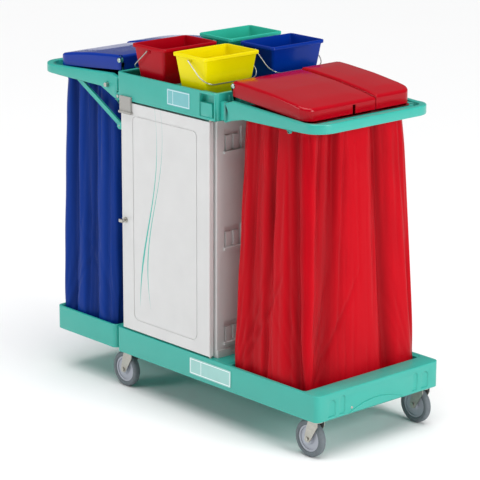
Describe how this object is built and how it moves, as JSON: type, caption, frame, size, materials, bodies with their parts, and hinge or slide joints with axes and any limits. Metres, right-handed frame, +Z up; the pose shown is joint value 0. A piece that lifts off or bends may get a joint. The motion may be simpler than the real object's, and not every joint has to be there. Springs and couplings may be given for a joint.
{
  "type": "housekeeping cart",
  "caption": "Wheeled housekeeping cart with a closed cabinet, lift-out buckets in a top tray and a lidded hanging bag at each end.",
  "frame": {"origin": "on the floor, under the middle of the cart along its length and its width across the base", "axes": "+X along the length towards the fixed bag holder, -Y towards the cabinet door, +Z up"},
  "size_m": [1.45, 0.59, 1.235],
  "materials": {
    "teal_plastic": "satin moulded plastic",
    "white_plastic": "gloss moulded plastic",
    "grey_plastic": "satin moulded plastic",
    "label_face": "printed plastic plate",
    "zinc_steel": "zinc plated pressed steel",
    "steel_wire": "bright drawn wire",
    "hub_plastic": "moulded nylon",
    "tyre_rubber": "non-marking rubber",
    "red_plastic": "gloss moulded plastic",
    "blue_plastic": "gloss moulded plastic",
    "yellow_plastic": "gloss moulded plastic",
    "green_plastic": "gloss moulded plastic",
    "red_fabric": "coated woven nylon",
    "blue_fabric": "coated woven nylon"
  },
  "bodies": {
    "cart": {"base_frame": "teal_plastic", "base_plate": "label_face", "platform_pins": "zinc_steel", "caster_plates": "zinc_steel", "caster_bolts": "zinc_steel", "side_panel_left": "white_plastic", "side_panel_right": "white_plastic", "back_panel": "white_plastic", "cabinet_floor": "white_plastic", "lower_shelf": "grey_plastic", "upper_shelf": "grey_plastic", "corner_feet": "white_plastic", "door_pins": "zinc_steel", "top_tray": "teal_plastic", "tray_label": "label_face", "holder_right": "teal_plastic", "holder_right_bolts": "zinc_steel", "lid_rod_right": "zinc_steel", "fold_pins": "zinc_steel", "strut_brackets": "teal_plastic", "bag_red": "red_fabric"},
    "platform": {"platform": "teal_plastic"},
    "door": {"door": "white_plastic", "door_catch": "grey_plastic"},
    "door_lock": {"door_lock": "zinc_steel"},
    "holder_left": {"holder_left": "teal_plastic", "lid_rod_left": "zinc_steel", "bag_blue": "blue_fabric"},
    "struts": {"strut_front": "teal_plastic", "strut_back": "teal_plastic"},
    "lock_pin_front": {"lock_pin_front": "zinc_steel"},
    "lock_pin_back": {"lock_pin_back": "zinc_steel"},
    "caster_front_left": {"fork_front_left": "zinc_steel", "axle_front_left": "zinc_steel"},
    "wheel_front_left": {"hub_front_left": "hub_plastic", "tyre_front_left": "tyre_rubber"},
    "caster_front_right": {"fork_front_right": "zinc_steel", "axle_front_right": "zinc_steel"},
    "wheel_front_right": {"hub_front_right": "hub_plastic", "tyre_front_right": "tyre_rubber"},
    "caster_back_left": {"fork_back_left": "zinc_steel", "axle_back_left": "zinc_steel"},
    "wheel_back_left": {"hub_back_left": "hub_plastic", "tyre_back_left": "tyre_rubber"},
    "caster_back_right": {"fork_back_right": "zinc_steel", "axle_back_right": "zinc_steel"},
    "wheel_back_right": {"hub_back_right": "hub_plastic", "tyre_back_right": "tyre_rubber"},
    "lid_right_front": {"lid_right_front": "red_plastic"},
    "lid_right_back": {"lid_right_back": "red_plastic"},
    "lid_left_front": {"lid_left_front": "blue_plastic"},
    "lid_left_back": {"lid_left_back": "blue_plastic"},
    "bucket_red": {"bucket_red": "red_plastic"},
    "bail_red": {"bail_red": "steel_wire"},
    "bucket_yellow": {"bucket_yellow": "yellow_plastic"},
    "bail_yellow": {"bail_yellow": "steel_wire"},
    "bucket_green": {"bucket_green": "green_plastic"},
    "bail_green": {"bail_green": "steel_wire"},
    "bucket_blue": {"bucket_blue": "blue_plastic"},
    "bail_blue": {"bail_blue": "steel_wire"}
  },
  "joints": [
    {"name": "swivel_front_left", "type": "hinge", "parent": "cart", "child": "caster_front_left", "pos_m": [-0.247, -0.245, 0.13], "axis": [0, 0, 1], "continuous": true},
    {"name": "wheel_spin_front_left", "type": "hinge", "parent": "caster_front_left", "child": "wheel_front_left", "pos_m": [-0.275, -0.245, 0.0625], "axis": [0, 1, 0], "continuous": true},
    {"name": "swivel_front_right", "type": "hinge", "parent": "cart", "child": "caster_front_right", "pos_m": [0.687, -0.245, 0.13], "axis": [0, 0, 1], "continuous": true},
    {"name": "wheel_spin_front_right", "type": "hinge", "parent": "caster_front_right", "child": "wheel_front_right", "pos_m": [0.659, -0.245, 0.0625], "axis": [0, 1, 0], "continuous": true},
    {"name": "swivel_back_left", "type": "hinge", "parent": "cart", "child": "caster_back_left", "pos_m": [-0.247, 0.245, 0.13], "axis": [0, 0, 1], "continuous": true},
    {"name": "wheel_spin_back_left", "type": "hinge", "parent": "caster_back_left", "child": "wheel_back_left", "pos_m": [-0.275, 0.245, 0.0625], "axis": [0, 1, 0], "continuous": true},
    {"name": "swivel_back_right", "type": "hinge", "parent": "cart", "child": "caster_back_right", "pos_m": [0.687, 0.245, 0.13], "axis": [0, 0, 1], "continuous": true},
    {"name": "wheel_spin_back_right", "type": "hinge", "parent": "caster_back_right", "child": "wheel_back_right", "pos_m": [0.659, 0.245, 0.0625], "axis": [0, 1, 0], "continuous": true},
    {"name": "door_swing", "type": "hinge", "parent": "cart", "child": "door", "pos_m": [0.202, -0.272, 0.63], "axis": [0, 0, 1], "range_deg": [0, 110]},
    {"name": "lock_turn", "type": "hinge", "parent": "door", "child": "door_lock", "pos_m": [-0.226, -0.283, 0.62], "axis": [0, -1, 0], "range_deg": [0, 90]},
    {"name": "left_fold", "type": "hinge", "parent": "cart", "child": "holder_left", "pos_m": [-0.285, 0, 1.04], "axis": [0, -1, 0], "range_deg": [0, 90], "deforming": ["bag_blue"]},
    {"name": "strut_fold", "type": "hinge", "parent": "cart", "child": "struts", "pos_m": [-0.279, 0, 0.938], "axis": [0, -1, 0], "range_deg": [0, 121]},
    {"name": "platform_fold", "type": "hinge", "parent": "cart", "child": "platform", "pos_m": [-0.277, 0, 0.217], "axis": [0, 1, 0], "range_deg": [0, 90.5]},
    {"name": "lock_pull_front", "type": "slide", "parent": "holder_left", "child": "lock_pin_front", "axis": [0, -1, 0], "range_m": [0, 0.012]},
    {"name": "lock_pull_back", "type": "slide", "parent": "holder_left", "child": "lock_pin_back", "axis": [0, 1, 0], "range_m": [0, 0.012]},
    {"name": "lid_open_right_front", "type": "hinge", "parent": "cart", "child": "lid_right_front", "pos_m": [0.275, 0, 1.158], "axis": [0, -1, 0], "range_deg": [0, 100]},
    {"name": "lid_open_right_back", "type": "hinge", "parent": "cart", "child": "lid_right_back", "pos_m": [0.275, 0, 1.158], "axis": [0, -1, 0], "range_deg": [0, 100]},
    {"name": "lid_open_left_front", "type": "hinge", "parent": "holder_left", "child": "lid_left_front", "pos_m": [-0.305, 0, 1.158], "axis": [0, 1, 0], "range_deg": [0, 100]},
    {"name": "lid_open_left_back", "type": "hinge", "parent": "holder_left", "child": "lid_left_back", "pos_m": [-0.305, 0, 1.158], "axis": [0, 1, 0], "range_deg": [0, 100]},
    {"name": "bucket_lift_red", "type": "slide", "parent": "cart", "child": "bucket_red", "axis": [0, 0, 1], "range_m": [0, 0.25]},
    {"name": "bail_swing_red", "type": "hinge", "parent": "bucket_red", "child": "bail_red", "pos_m": [-0.12, -0.149, 1.218], "axis": [0, 1, 0], "range_deg": [0, 260]},
    {"name": "bucket_lift_yellow", "type": "slide", "parent": "cart", "child": "bucket_yellow", "axis": [0, 0, 1], "range_m": [0, 0.25]},
    {"name": "bail_swing_yellow", "type": "hinge", "parent": "bucket_yellow", "child": "bail_yellow", "pos_m": [0.09, -0.149, 1.218], "axis": [0, -1, 0], "range_deg": [0, 260]},
    {"name": "bucket_lift_green", "type": "slide", "parent": "cart", "child": "bucket_green", "axis": [0, 0, 1], "range_m": [0, 0.25]},
    {"name": "bail_swing_green", "type": "hinge", "parent": "bucket_green", "child": "bail_green", "pos_m": [-0.12, 0.149, 1.218], "axis": [0, 1, 0], "range_deg": [0, 260]},
    {"name": "bucket_lift_blue", "type": "slide", "parent": "cart", "child": "bucket_blue", "axis": [0, 0, 1], "range_m": [0, 0.25]},
    {"name": "bail_swing_blue", "type": "hinge", "parent": "bucket_blue", "child": "bail_blue", "pos_m": [0.09, 0.149, 1.218], "axis": [0, -1, 0], "range_deg": [0, 260]}
  ],
  "couplings": [
    {"joint": "strut_fold", "follows": "left_fold", "ratio": 1.3239},
    {"joint": "platform_fold", "follows": "left_fold", "ratio": 1}
  ]
}
